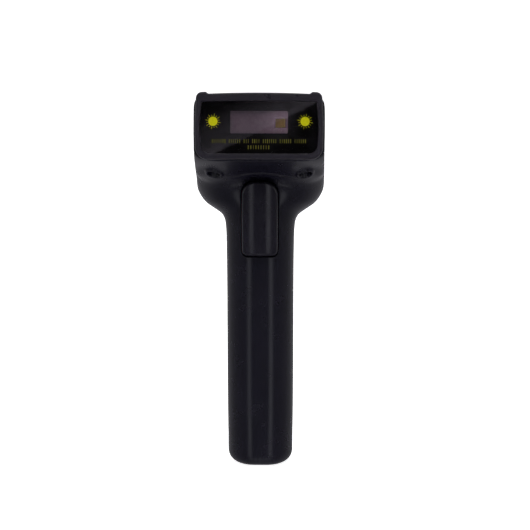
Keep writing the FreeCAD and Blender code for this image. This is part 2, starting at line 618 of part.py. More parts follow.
mh = node(body("mirror_holder", True))
x0, y0 = diag(-2.9, 0.7)
p = prim(mh, "holder_plate", "AdditiveBox", {"Length": 5.8, "Width": 0.9, "Height": 5.0}, (x0, y0, OZ - 2.5), "z", -45.0)
cyl(mh, "holder_sleeve", 3.2, 11.2, (PX, PY, 157.3))
box(mh, "magnet_arm", (PX - 0.75, PX + 0.75), (PY, PY + 3.2), (157.8, 160.2))
cyl(mh, "holder_bore", "Dims.pivot_dia+0.1", 20, (PX, PY, 150), cut=True)
mp = node(body("mirror_pivot", True))
cyl(mp, "pivot_pin", "Dims.pivot_dia", 17.6, (PX, PY, 152.0))
mg = node(body("mirror_magnet", True))
box(mg, "magnet", (PX - 1.5, PX + 1.5), (PY + 3.2, PY + 5.1), (157.5, 160.5))

cb = node(body("coil_bobbin", True))
cyl(cb, "flange_front", 8.4, 0.5, (PX, -61.3, 159.2), "y")
cyl(cb, "flange_rear", 8.4, 0.5, (PX, -57.6, 159.2), "y")
cyl(cb, "core", 3.4, 4.0, (PX, -61.2, 159.2), "y")
dc = node(body("drive_coil", True))
cyl(dc, "winding", 7.6, 3.2, (PX, -60.8, 159.2), "y")
cyl(dc, "winding_bore", 3.4, 5, (PX, -61.5, 159.2), "y", cut=True)

cm = node(body("collector_mirror", True))
box(cm, "collector_block", (-3.2, 0.2), (-72.0, -64.0), (161.4, 170.6))
prim(cm, "collector_bowl", "SubtractiveSphere", {"Radius": 16.0}, (14.6, -60.6, OZ))
cyl(cm, "beam_hole", 2.0, 8, (-5, "Dims.mirror_y", "Dims.optic_height"), "x", cut=True)
eb = node(body("engine_board", True))
box(eb, "engine_pcb", (-15.6, 15.6), (-52.0, "-52.0+Dims.board_thick"), (153.6, 171.4))
box(eb, "engine_chip", (-10, -4), (-53.0, -52.0), (160, 166))
ph_ = node(body("photodiode", True))
box(ph_, "diode_case", (4.0, 9.0), (-53.6, -52.0), (163.2, 168.8))
box(ph_, "diode_window", (4.7, 8.3), (-54, -53.4), (163.9, 168.1), cut=True)


def screw_shape(dia, length, head, thick, recess):
    s = Part.makeCylinder(head / 2, thick, V(0, 0, -thick))
    s = s.fuse(Part.makeCylinder(dia / 2, length))
    s = s.removeSplitter()
    top_edges = [e for e in s.Edges if abs(e.BoundBox.ZMin + thick) < 1e-6 and abs(e.BoundBox.ZMax + thick) < 1e-6]
    s = s.makeFillet(min(thick * 0.45, 0.6), top_edges)
    bar = Part.makeBox(recess * 2.0, recess * 0.45, thick * 0.6, V(-recess, -recess * 0.225, -thick))
    bar2 = Part.makeBox(recess * 0.45, recess * 2.0, thick * 0.6, V(-recess * 0.225, -recess, -thick))
    return s.cut(bar.fuse(bar2))


def screw_group(label, items, head_frame=False):
    """Identical screws as separate solids of one node. Each item is the seat
    point and the direction in which the shank runs."""
    solids = []
    for (dia, length, hd, thick, rec), at, way in items:
        s = screw_shape(dia, length, hd, thick, rec)
        s.Placement = FreeCAD.Placement(V(*at), FreeCAD.Rotation(V(0, 0, 1), V(*way)))
        solids.append(s)
    f = doc.addObject("Part::Feature", label)
    f.Shape = Part.makeCompound(solids)
    f.Label = label
    if head_frame:
        lean(f)
    return node(f)


small = (1.94, 5.0, 3.8, 1.5, 1.0)
screw_group("engine_screws", [(small, (sx * 13.0, -55.2, 153.6), (0, 0, -1)) for sx in (1, -1)], True)

# ------------------------------------------------------------- main board
mb = node(body("main_board", True))
doc.recompute()
pts = [(-24, -49), (24, -49), (24, -22), (19, -11.5), (-19, -11.5), (-24, -22)]
pad(mb, "board_pad", sketch(mb, "board_outline", "XY_Plane", poly(pts), "Dims.board_low"), "Dims.main_thick")
for sx, tag in ((1, "a"), (-1, "b")):
    cyl(mb, "hole_front_" + tag, 2.2, 6, (sx * 20.5, -43.0, 148), cut=True)
    cyl(mb, "hole_rear_" + tag, 2.2, 6, (sx * 18.5, -15.0, 148), cut=True)
BT = d("board_low") + d("main_thick")
dch = node(body("decoder_chip", True))
box(dch, "chip", (6, 16), (-38, -28), (BT, BT + 1.2))
rm = node(body("radio_module", True))
box(rm, "radio_pcb", (-17, -5), (-38, -22), (BT, BT + 0.8))
box(rm, "radio_can", (-16.2, -5.8), (-33, -22.8), (BT + 0.8, BT + 2.4))
bu = node(body("buzzer", True))
cyl(bu, "buzzer_can", 12.0, 7.5, (0, -18.2, BT))
cyl(bu, "buzzer_port", 2.4, 2, (0, -18.2, BT + 6.5), cut=True)
sl_ = node(body("status_led", True))
box(sl_, "led_case", (-1.75, 1.75), (-41.4, -38.6), (BT, BT + 1.6))
ln = node(body("status_lens", True))
box(ln, "lens_pipe", (-4.55, 4.55), (-41.85, -38.15), (BT + 2.0, 179.4))
box(ln, "pipe_relief_a", (-6, -2.2), (-43, -37), (150, 174.0), cut=True)
box(ln, "pipe_relief_b", (2.2, 6), (-43, -37), (150, 174.0), cut=True)
lens_clip = common("status_lens_trim", ln, outer)
NODES.remove(ln)
ln.Label = "lens_blank"
node(lens_clip, "status_lens")

# Flat flex from the engine board down to the main board (side view strip).
fx = node(body("engine_flex", True))
doc.recompute()
pts = [(-50.8, 159.0), (-50.8, 155.0), (-49.2, 152.2), (-48.4, 151.6), (-44.6, 151.6),
       (-44.6, 151.85), (-48.3, 151.85), (-49.0, 152.35), (-50.55, 155.1), (-50.55, 159.0)]
pad(fx, "flex_pad", sketch(fx, "flex_path", "YZ_Plane", poly(pts)), 9.0, mid=True)

# ---------------------------------------------------------------- trigger
tr_outer = form("lever_form", TRIGGER, "lever")
tp = body("lever_adds")
cyl(tp, "lever_barrel", "Dims.pin_dia+3.4", 17.4, (-8.7, "Dims.pivot_back", "Dims.pivot_height"), "x")
box(tp, "lever_web", (-8.7, -6.9), (-17.4, -12.0), (141, 150))
box(tp, "lever_web_b", (6.9, 8.7), (-17.4, -12.0), (141, 150))
box(tp, "lever_roof", (-8.7, 8.7), (-17.4, -15.6), (145, 149))
box(tp, "lever_lip", (-4, 4), (-17.2, -15.6), (106.1, 111.5))
void = body("lever_void")
box(void, "hollow", (-7.1, 7.1), (-22.6, -5), (111.5, 145.0))
ribs = body("lever_rib")
box(ribs, "nose_rib", (-2.2, 2.2), (-23.5, -15.0), ("Dims.nose_height-1.9", "Dims.nose_height+1.9"))
cyl(ribs, "nose", 4.0, 4.4, (-2.2, -15.0, "Dims.nose_height"), "x")
tbore = body("lever_bore")
cyl(tbore, "bore", "Dims.pin_dia+2*Dims.pin_fit", 30, (-15, "Dims.pivot_back", "Dims.pivot_height"), "x")
t1 = cut("lever_hollow", tr_outer, void)
t2 = fuse("lever_whole", t1, tp, ribs)
node(cut("trigger", t2, tbore), "trigger")
tpin = node(body("trigger_pin"))
cyl(tpin, "pin", "Dims.pin_dia", "Dims.pin_length", ("-Dims.pin_length/2", "Dims.pivot_back", "Dims.pivot_height"), "x")

# Leaf return spring: clipped to the switch board, pressing the lever forward.
ts = node(body("trigger_spring"))
doc.recompute()
pts = [(-4.6, 131.0), (-4.6, 139.0), (-5.6, 140.6), (-9.0, 140.2), (-15.5, 137.2), (-20.2, 133.4), (-22.2, 130.2),
       (-21.9, 130.0), (-19.9, 133.1), (-15.3, 136.85), (-8.9, 139.8), (-5.8, 140.15), (-4.95, 138.9), (-4.95, 131.0)]
pad(ts, "spring_pad", sketch(ts, "spring_path", "YZ_Plane", poly(pts)), 4.6, mid=True)

sb_ = node(body("switch_board"))
box(sb_, "switch_pcb", (-8.6, 8.6), ("-3.4-Dims.board_thick", -3.4), (110.5, 142.0))
for sx, tag in ((1, "a"), (-1, "b")):
    cyl(sb_, "switch_hole_" + tag, 2.2, 6, (sx * 5.4, -7, 113.6), "y", cut=True)
tw = node(body("trigger_switch"))
box(tw, "switch_case", (-4, 4), (-10.6, -4.6), (116.2, 123.8))
cyl(tw, "switch_bore", "Dims.plunger_dia+0.16", 8, (0, -11.6, "Dims.nose_height"), "y", cut=True)
pl = node(body("switch_plunger"))
cyl(pl, "plunger", "Dims.plunger_dia", "Dims.plunger_length", (0, "Dims.plunger_front", "Dims.nose_height"), "y")

# ---------------------------------------------------------------- battery
bc = node(body("battery_cell"))
cyl(bc, "cell", "Dims.cell_dia", "Dims.cell_length", (0, "Dims.cell_y", "Dims.cell_low"))
cyl(bc, "cell_cap", 6.0, 0.8, (0, "Dims.cell_y", "Dims.cell_low+Dims.cell_length"))
cr = node(body("battery_cradle"))
box(cr, "tray", (-10.8, 10.8), (-1.0, 8.0), (25.4, 95.1))
cyl(cr, "tray_bore", "Dims.cell_dia+0.2", "Dims.cell_length+1.2", (0, "Dims.cell_y", "Dims.cell_low-0.3"), cut=True)
box(cr, "end_low", (-7, 7), (-8, -1.0), (25.4, 27.6))
box(cr, "end_high", (-7, 7), (-8, -1.0), (94.0, 95.1))
bt = node(body("battery_contact"))
box(bt, "contact_low", (-4, 4), (-7, -1.1), (27.6, 28.0))


def tube(path, r):
    """Round wire along straight runs joined by tangent arcs."""
    edges, prev = [], V(*path[0])
    for i in range(1, len(path) - 1):
        p, pn = V(*path[i]), V(*path[i + 1])
        d1, d2 = (p - V(*path[i - 1])), (pn - p)
        l1, l2 = d1.Length, d2.Length
        d1.normalize()
        d2.normalize()
        half = math.acos(max(-1, min(1, d1 * d2))) / 2
        cut_len = 0.45 * min(l1, l2)
        s1, s2 = p - d1 * cut_len, p + d2 * cut_len
        rad = cut_len / math.tan(half)
        bis = (d2 - d1)
        bis.normalize()
        c = p + bis * (rad / math.cos(half))
        m = c + (p - c).normalize() * rad
        edges.append(Part.LineSegment(prev, s1).toShape())
        edges.append(Part.Arc(s1, m, s2).toShape())
        prev = s2
    edges.append(Part.LineSegment(prev, V(*path[-1])).toShape())
    w = Part.Wire(edges)
    start = (V(*path[1]) - V(*path[0])).normalize()
    prof = Part.Wire([Part.Circle(V(*path[0]), start, r).toShape()])
    return w.makePipeShell([prof], True, False)


leads = doc.addObject("Part::Feature", "battery_leads")
under = (rowy(-26, 149.9), rowz(-26, 149.9))
leads.Shape = Part.makeCompound([
    tube([(x, 6.5, 95.1), (x, 6.5, 112.0), (x, 5.2, 130.0), (x, under[0], under[1] - 0.4)], 0.65)
    for x in (9.4, -9.4)])
leads.Label = "battery_leads"
node(leads)

cg = node(body("charge_board"))
box(cg, "charge_pcb", (-10.3, 10.3), (8.0, "8.0+Dims.board_thick"), (2.8, 17.0))
box(cg, "charge_chip", (-3, 1), (9.2, 10.2), (9.5, 13.5))
us = node(body("usb_socket"))
box(us, "socket_shell", ("-Dims.socket_width/2", "Dims.socket_width/2"),
    ("Dims.socket_y-Dims.socket_depth/2", 8.0), (0.9, 8.0))
box(us, "socket_mouth", ("-Dims.socket_width/2+0.4", "Dims.socket_width/2-0.4"),
    ("Dims.socket_y-Dims.socket_depth/2+0.4", "Dims.socket_y+Dims.socket_depth/2-0.4"), (0, 7.4), cut=True)
ut = node(body("usb_tongue"))
box(ut, "tongue", (-2.9, 2.9), ("Dims.socket_y-0.35", "Dims.socket_y+0.35"), (1.8, 7.4))

# ---------------------------------------------------------------- screws
big = (2.24, 20.0, 4.8, 1.9, 1.3)
hs = screw_group("head_screws", [((2.24, 18.0, 5.6, 1.9, 1.5), (sx * d("screw_x"), d("screw_y"), d("screw_seat")), (0, 0, 1))
                                 for sx in (1, -1)], True)
screw_group("handle_screws", [((2.24, 14.0, 4.8, 1.9, 1.3), (0, 6.5, d(k)), (0, -1, 0))
                              for k in ("handle_screw_low", "handle_screw_high")])
a2 = HEAD_PL.Rotation
tiny = (1.64, 6.0, 3.4, 1.3, 0.9)
items = []
for sx in (1, -1):
    for bx, by in ((20.5, -43.0), (18.5, -15.0)):
        pt = HEAD_PL.multVec(V(sx * bx, by, d("board_low")))
        up = a2.multVec(V(0, 0, 1))
        items.append((tiny, (pt.x, pt.y, pt.z), (up.x, up.y, up.z)))
    items.append((tiny, (sx * 5.4, -4.6, 113.6), (0, 1, 0)))
screw_group("board_screws", items)

# ------------------------------------------------------------------ output
doc.recompute()
bad = []
for o in doc.Objects:
    st = [s for s in o.State if s in ("Invalid", "Error")]
    if st:
        bad.append((o.Name, st))
if bad:
    raise RuntimeError("objects failed: %s" % bad)
for o in NODES:
    s = o.Shape
    if s.isNull() or not s.isValid() or not s.Solids:
        raise RuntimeError("bad shape: " + o.Label)
for o in NODES:
    s = o.Shape
    bb = s.BoundBox
    print("%-18s solids %d  vol %9.1f  x %.1f..%.1f y %.1f..%.1f z %.1f..%.1f" % (
        o.Label, len(s.Solids), s.Volume, bb.XMin, bb.XMax, bb.YMin, bb.YMax, bb.ZMin, bb.ZMax))
    s.exportStep("parts/%s.step" % o.Label)
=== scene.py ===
"""Looks of the handheld barcode scanner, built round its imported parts.

Lengths in the shape code are millimetres in the part's own frame (origin at
the centre of the handle's base, +Z up the handle, window toward -Y); meshes
are turned into metres at the end.
"""
import json
import math

import bmesh
import bpy
import numpy as np
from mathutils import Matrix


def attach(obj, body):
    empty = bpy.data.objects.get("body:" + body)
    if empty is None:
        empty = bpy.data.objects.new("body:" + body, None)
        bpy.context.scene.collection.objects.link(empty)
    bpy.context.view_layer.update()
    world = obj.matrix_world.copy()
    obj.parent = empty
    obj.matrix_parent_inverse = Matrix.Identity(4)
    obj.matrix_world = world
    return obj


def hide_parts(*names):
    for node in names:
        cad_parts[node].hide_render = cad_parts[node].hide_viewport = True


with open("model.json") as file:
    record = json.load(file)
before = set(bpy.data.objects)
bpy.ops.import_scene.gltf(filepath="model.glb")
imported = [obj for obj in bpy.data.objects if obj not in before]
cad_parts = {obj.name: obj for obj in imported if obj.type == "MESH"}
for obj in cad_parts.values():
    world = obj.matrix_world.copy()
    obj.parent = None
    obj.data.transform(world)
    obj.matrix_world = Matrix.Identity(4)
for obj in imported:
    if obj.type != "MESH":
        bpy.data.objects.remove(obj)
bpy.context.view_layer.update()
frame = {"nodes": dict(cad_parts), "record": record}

import openvdb as vdb
from mathutils import Matrix, Vector

RNG = np.random.default_rng(7)
TH = math.radians(12.0)
CT, ST = math.cos(TH), math.sin(TH)
HEAD = Matrix.Rotation(-TH, 4, "X")          # head frame to part frame
scene = bpy.context.scene


def to_head(y, z):
    """Depth and height in the head's own upright frame."""
    return y * CT - z * ST, y * ST + z * CT


def to_part(y, z):
    return y * CT + z * ST, -y * ST + z * CT


# ------------------------------------------------------------ distance tools
def round_cut(a, b, r):
    """Both insides at once, with the outer edge between them rounded by r."""
    return np.minimum(-r, np.maximum(a, b)) + np.hypot(np.maximum(a + r, 0), np.maximum(b + r, 0))


def round_join(a, b, r):
    """Either inside, with the inner corner between them filled by radius r."""
    return np.maximum(r, np.minimum(a, b)) - np.hypot(np.maximum(r - a, 0), np.maximum(r - b, 0))


def rect2(u, v, hu, hv, r):
    """Rounded rectangle of half sizes hu, hv about the origin."""
    qu, qv = np.abs(u) - (hu - r), np.abs(v) - (hv - r)
    return np.hypot(np.maximum(qu, 0), np.maximum(qv, 0)) + np.minimum(np.maximum(qu, qv), 0) - r


def smooth01(v):
    v = np.clip(v, 0, 1)
    return v * v * (3 - 2 * v)


def pchip(x, y, xi):
    x, y = np.asarray(x, float), np.asarray(y, float)
    h = np.diff(x)
    s = np.diff(y) / h
    m = np.zeros(len(x))
    m[0], m[-1] = s[0], s[-1]
    for k in range(1, len(x) - 1):
        if s[k - 1] * s[k] > 0:
            w1, w2 = 2 * h[k] + h[k - 1], h[k] + 2 * h[k - 1]
            m[k] = (w1 + w2) / (w1 / s[k - 1] + w2 / s[k])
    k = np.clip(np.searchsorted(x, xi) - 1, 0, len(h) - 1)
    u = (np.clip(xi, x[0], x[-1]) - x[k]) / h[k]
    out = ((2 * u ** 3 - 3 * u ** 2 + 1) * y[k] + (u ** 3 - 2 * u ** 2 + u) * h[k] * m[k]
           + (-2 * u ** 3 + 3 * u ** 2) * y[k + 1] + (u ** 3 - u ** 2) * h[k] * m[k + 1])
    out = out + np.where(xi > x[-1], (xi - x[-1]) * m[-1], 0) + np.where(xi < x[0], (xi - x[0]) * m[0], 0)
    return out


# Sections of the outer form, bottom to top: height where the section's plane
# meets the Z axis, lean of the plane, half width, reach to the front and to
# the rear, and the corner radii at the front and at the rear.
SECTIONS = np.array([
    (-10, 0, 16.20, 18.00, 18.30, 13.2, 13.2),
    (7.6, 0, 16.22, 18.10, 18.45, 13.2, 13.2),
    (29, 0, 16.45, 18.4, 18.9, 13.2, 13.2),
    (58, 0, 16.55, 18.9, 19.3, 13.2, 13.2),
    (87, 1, 16.55, 19.3, 18.6, 13.2, 13.2),
    (116, 8, 16.8, 19.7, 17.2, 13.6, 13.2),
    (120, 10, 17.0, 19.7, 17.3, 14.0, 13.4),
    (123.5, 11.4, 17.45, 19.7, 18.0, 14.6, 13.8),
    (126.5, 12, 18.8, 19.7, 19.2, 15.6, 14.5),
    (129.5, 12, 22.7, 19.7, 21.5, 17.5, 16),
    (132.5, 12, 26.9, 19.8, 24.5, 19.6, 18),
    (136, 12, 29.6, 20.1, 27.6, 21.6, 20),
    (140, 12, 31.3, 20.9, 30.2, 22.9, 21),
    (143, 12, 31.6, 22.5, 31.6, 22.8, 22),
    (145.3, 12, 31.6, 25.4, 32.4, 21.4, 22),
    (147.3, 12, 31.5, 30.4, 32.8, 18.6, 22),
    (149.3, 12, 31.35, 36.8, 33.2, 15.2, 22),
    (151.3, 12, 31.2, 42.5, 33.4, 12.1, 22),
    (154, 12, 31.1, 46.9, 33.5, 10, 22),
    (159, 12, 31.1, 49.4, 33.0, 9, 22),
    (165, 12, 31.2, 49.8, 30.6, 9, 22),
    (171, 12, 31.2, 49.4, 26.2, 9, 21),
    (175.5, 12, 31.15, 48.6, 21.0, 9, 20),
    (179, 12, 30.9, 47.3, 14.6, 9, 18),
    (181.5, 12, 29.6, 45.6, 8.0, 9, 15),
    (183.3, 12, 27.2, 43.2, 0.5, 9, 11)])
T0, DT = -12.0, 0.05
_ti = np.arange(T0, 196.0, DT)


def _table(col):
    v = pchip(SECTIONS[:, 0], SECTIONS[:, col], _ti)
    if col == 1:
        v = np.radians(np.clip(v, 0, 12))
        v = np.where(_ti > 126.5, TH, v)
    n = 24
    ker = np.exp(-0.5 * (np.arange(-n, n + 1) / 12.0) ** 2)
    ker /= ker.sum()
    pad = np.concatenate([np.full(n, v[0]), v, np.full(n, v[-1])])
    return np.convolve(pad, ker, "valid")


TAB = [None] + [_table(c) for c in range(1, 7)]
DTAB = [None, None] + [np.gradient(TAB[c], DT) for c in range(2, 7)]


class Along:
    """Looks the section tables up at the heights t."""

    def __init__(self, t):
        p = np.clip((t - T0) / DT, 0, len(_ti) - 1.001)
        self.i = p.astype(np.int32)
        self.f = (p - self.i).astype(np.float32)

    def __call__(self, tab):
        a = tab[self.i]
        return (a + (tab[self.i + 1] - a) * self.f).astype(np.float32)


def plane_height(y, z):
    t = z + y * math.tan(TH) * smooth01((z - 60) / 60)
    for _ in range(5):
        t = z + y * np.tan(Along(t)(TAB[1]))
    return t.astype(np.float32)


def body_form(x, y, z):
    """Signed distance to the outer form, negative inside."""
    t = plane_height(y, z)
    at = Along(t)
    ph = at(TAB[1])
    v = y * np.cos(ph) - (z - t) * np.sin(ph)
    ax = np.abs(x)
    # the lip over the trigger drops a little toward the sides
    sag = np.minimum(1.3 * (np.sqrt(1 + (ax / 8.5) ** 2) - 1), 2.2)
    droop = sag * smooth01((-v - 8) / 12) * smooth01((t - 132) / 8) * smooth01((149.5 - t) / 5.5)
    at = Along(t + droop)
    hx, front = at(TAB[2]), v < 0
    reach = np.where(front, at(TAB[3]), at(TAB[4]))
    rad = np.where(front, at(TAB[5]), at(TAB[6]))
    qx, qv = ax - (hx - rad), np.abs(v) - (reach - rad)
    mx, mv = np.maximum(qx, 0), np.maximum(qv, 0)
    ln = np.hypot(mx, mv)
    f = ln + np.minimum(np.maximum(qx, qv), 0) - rad
    inv = 1 / np.maximum(ln, 1e-3)
    nx = np.where(ln > 1e-3, mx * inv, (qx > qv))
    nv = np.where(ln > 1e-3, mv * inv, (qx <= qv))
    dr = np.where(front, at(DTAB[5]), at(DTAB[6]))
    dh = at(DTAB[2]) - dr
    ds = np.where(front, at(DTAB[3]), at(DTAB[4])) - dr
    slope = (nx * dh + nv * ds + dr) / np.cos(ph)
    f = f / np.sqrt(1 + slope ** 2)
    top = (t - 183.25) * CT
    f = round_cut(f, top, 0.9)
    return round_cut(f, -z, 6.6)


def parting(y, z):
    """Distance past the parting surface: negative in the front half."""
    y0, z0 = to_head(y, z)
    a, b = y - 1.0, z0 - 152.0
    r = 22.0
    zc = (152.0 - 1.0 * ST) / CT - r * math.tan((math.pi / 2 - TH) / 2)
    cy = 1.0 - r
    uy, uz = y - cy, z - zc
    ang = np.arctan2(uz, uy)
    sector = (ang > 0) & (ang < math.pi / 2 - TH)
    return np.where(sector, np.hypot(uy, uz) - r, np.maximum(a, b))


# --------------------------------------------------------------- mesh making
def material_on(obj, mat):
    obj.data.materials.clear()
    obj.data.materials.append(mat)


def link(obj):
    scene.collection.objects.link(obj)
    return obj


def field_mesh(name, fun, lo, hi, h, mirror=True, head=False, project=2):
    """Closed quad mesh of a distance function. With mirror, fun is even in x
    and is sampled on one side only."""
    lo, hi = np.array(lo, float), np.array(hi, float)
    if mirror:
        nx = int(math.ceil(hi[0] / h)) + 1
        xs = np.arange(nx) * h
    else:
        xs = np.arange(lo[0], hi[0] + h, h)
    ys, zs = np.arange(lo[1], hi[1] + h, h), np.arange(lo[2], hi[2] + h, h)
    out = np.empty((len(xs), len(ys), len(zs)), np.float32)
    Y, Z = np.meshgrid(ys.astype(np.float32), zs.astype(np.float32), indexing="ij")
    step = max(1, int(2.0e6 / Y.size))
    for i in range(0, len(xs), step):
        X = xs[i:i + step].astype(np.float32)[:, None, None]
        Xb = np.broadcast_to(X, (X.shape[0],) + Y.shape)
        Yb, Zb = np.broadcast_to(Y, Xb.shape), np.broadcast_to(Z, Xb.shape)
        out[i:i + step] = fun(Xb, Yb, Zb)
    if mirror:
        out = np.concatenate([out[:0:-1], out])
        x_lo = -(len(xs) - 1) * h
    else:
        x_lo = xs[0]
    band = 3.0 * h
    grid = vdb.FloatGrid(band)
    grid.copyFromArray(np.ascontiguousarray(np.clip(out, -band, band), dtype=np.float32), tolerance=0.0)
    pts, quads = grid.convertToQuads()
    pts = pts.astype(np.float64) * h + np.array([x_lo, ys[0], zs[0]])
    e = 0.02
    for _ in range(project):
        x, y, z = (pts[:, k] for k in range(3))
        f0 = fun(x, y, z)
        g = np.stack([fun(x + e, y, z) - fun(x - e, y, z), fun(x, y + e, z) - fun(x, y - e, z),
                      fun(x, y, z + e) - fun(x, y, z - e)], 1) / (2 * e)
        n2 = np.maximum((g ** 2).sum(1), 0.25)
        move = -(f0 / n2)[:, None] * g
        ln = np.linalg.norm(move, axis=1, keepdims=True)
        move *= np.minimum(1, 0.45 * h / np.maximum(ln, 1e-9))
        pts = pts + move
    vol = np.einsum("ij,ij->i", pts[quads[:, 0]], np.cross(pts[quads[:, 1]], pts[quads[:, 2]])).sum()
    vol += np.einsum("ij,ij->i", pts[quads[:, 0]], np.cross(pts[quads[:, 2]], pts[quads[:, 3]])).sum()
    if vol < 0:
        quads = quads[:, ::-1]
    return raw_mesh(name, pts, quads, head)


def raw_mesh(name, pts, faces, head=False, smooth=True):
    me = bpy.data.meshes.new(name)
    co = np.asarray(pts, np.float64) / 1000.0
    if head:
        co = np.stack([co[:, 0], co[:, 1] * CT + co[:, 2] * ST, -co[:, 1] * ST + co[:, 2] * CT], 1)
    faces = np.asarray(faces)
    me.vertices.add(len(co))
    me.vertices.foreach_set("co", co.astype(np.float32).ravel())
    me.loops.add(faces.size)
    me.loops.foreach_set("vertex_index", faces.astype(np.int32).ravel())
    me.polygons.add(len(faces))
    me.polygons.foreach_set("loop_start", np.arange(0, faces.size, faces.shape[1], dtype=np.int32))
    me.update(calc_edges=True)
    me.validate()
    if smooth:
        me.polygons.foreach_set("use_smooth", np.ones(len(me.polygons), bool))
    me.update()
    return link(bpy.data.objects.new(name, me))


# ------------------------------------------------------------------- housing
WALL = 2.0
SCREW_X, SCREW_Y, SEAT = 22.0, -58.0, 150.0


def trimmed(x, y, z, d):
    y0, z0 = to_head(y, z)
    return round_cut(d, -73.0 - y0, 0.25), y0, z0


def rim(outer, ax, y0, z0):
    """Frame of the head's mouth, which the bezel sits against."""
    return np.maximum(np.maximum(outer, y0 + 70.3), -rect2(ax, z0 - 163.3, 27.1, 11.8, 1.5))


def lip(ax, y0, z0):
    """Small bead along the lip over the trigger, and collars round the screws."""
    drop = np.minimum(1.25 * (np.sqrt(1 + (ax / 8.5) ** 2) - 1), 2.4)
    off = (y0 - (-57.0 + 1.9 * drop)) / 0.72
    ledge = 0.6 * np.exp(-off * off) * (1 - smooth01((ax - 13) / 7)) * smooth01((148 - z0) / 2)
    c = np.hypot(ax - SCREW_X, y0 - SCREW_Y)
    ring = 0.5 * smooth01((c - 2.4) / 0.8) * (1 - smooth01((c - 3.9) / 0.8)) * smooth01((-y0 - 42) / 4) * smooth01((150 - z0) / 2)
    return np.maximum(ledge, ring)


def front_field(x, y, z):
    d = body_form(x, y, z)
    ax = np.abs(x)
    y0, z0 = to_head(y, z)
    d = d - lip(ax, y0, z0)
    outer = round_cut(d, -73.0 - y0, 0.25)
    f = np.maximum(outer, -(d + WALL))
    f = np.minimum(f, rim(outer, ax, y0, z0))
    c = np.hypot(ax - SCREW_X, y0 - SCREW_Y)
    f = np.minimum(f, np.maximum(np.maximum(c - 4.0, z0 - 158.0), outer))
    # screw recess with a raised collar round its mouth
    f = round_cut(f, -np.maximum(c - 3.1, z0 - SEAT), 0.4)
    f = np.maximum(f, -np.maximum(c - 1.45, z0 - 163.0))
    slot = np.where(z < 130, round_cut(ax - 9.0, 108.8 - z, 2.9), round_cut(ax - 9.0, z - 147.1, 6.85))
    f = round_cut(f, -np.maximum(slot, y + 11.0), 0.3)
    return round_cut(f, parting(y, z) + 0.004, 0.25)


def rear_field(x, y, z):
    d = body_form(x, y, z)
    outer, y0, z0 = trimmed(x, y, z, d)
    ax = np.abs(x)
    f = np.maximum(outer, -(d + WALL))
    f = np.minimum(f, rim(outer, ax, y0, z0))
    for zc in (21.5, 99.0):
        c = np.hypot(ax, z - zc)
        f = np.minimum(f, np.maximum(np.maximum(c - 3.8, 1.0 - y), outer))
        f = round_cut(f, -np.maximum(c - 2.8, 6.5 - y), 0.5)
        f = np.maximum(f, -np.maximum(c - 1.45, -y))
    lens = rect2(ax, y0 + 40.0, 4.6, 1.9, 0.25)
    f = round_cut(f, -np.maximum(lens, 170 - z0), 0.15)
    px = ax - 3.8 * np.round(ax / 3.8)
    px = np.where(ax > 9.5, ax - 7.6, px)
    slots = np.maximum(rect2(px, z0 - 158.25, 0.7, 3.75, 0.68), -12 - y0)
    f = round_cut(f, -slots, 0.3)
    usb = np.maximum(rect2(ax, y - 6.5, 4.25, 1.75, 0.6), z - 6)
    f = round_cut(f, -usb, 0.3)
    return round_cut(f, -parting(y, z) + 0.004, 0.25)


HC = 0.5
front = field_mesh("front_shell", front_field, (0, -52, -2), (33, 14, 178), HC)
rear = field_mesh("rear_shell", rear_field, (0, -52, -2), (33, 36, 194), HC)


# --------------------------------------------------------------------- bezel
def glass_half(z):
    return np.interp(z, [150.9, 153.0, 163.5, 175.8], [27.35, 27.45, 28.0, 27.0])


def glass_top(ax):
    return 175.7 - 0.35 * (ax / 27.0) ** 2


def outline(ax, z, hw, low, top, r_low, r_top):
    side = ax - hw
    up, down = z - top, low - z
    o = round_cut(side, down, r_low)
    return np.where(z > 0.5 * (low + 176), round_cut(side, up, r_top), o)


def bezel_field(x, y, z):
    ax = np.abs(x)
    hw = np.interp(z, [146, 154, 165, 178, 182], [30.1, 30.2, 30.45, 29.85, 29.65])
    hw = hw - 0.05
    crown = 179.7 - 0.5 * (ax / 23.6) ** 2
    ears = 0.95 * smooth01((ax - 23.7) / 1.6)
    top = crown + ears
    o = outline(ax, z, hw, 148.05, np.minimum(top, 180.1), 6.1, 2.6)
    f = round_cut(o, -80.0 + 0.05 - y, 1.5)
    f = round_cut(f, y + 73.05, 0.3)
    g = outline(ax, z, glass_half(z) + 0.12, 150.9, glass_top(ax) + 0.1, 4.2, 0.9)
    f = round_cut(f, -np.maximum(g, y + 76.3), 0.55)
    mouth = rect2(ax, z - 163.4, 25.0, 10.2, 2.5)
    return round_cut(f, -mouth, 0.25)


bezel = field_mesh("front_bezel_shell", bezel_field, (0, -82, 145), (33, -71, 184), 0.26, head=True)


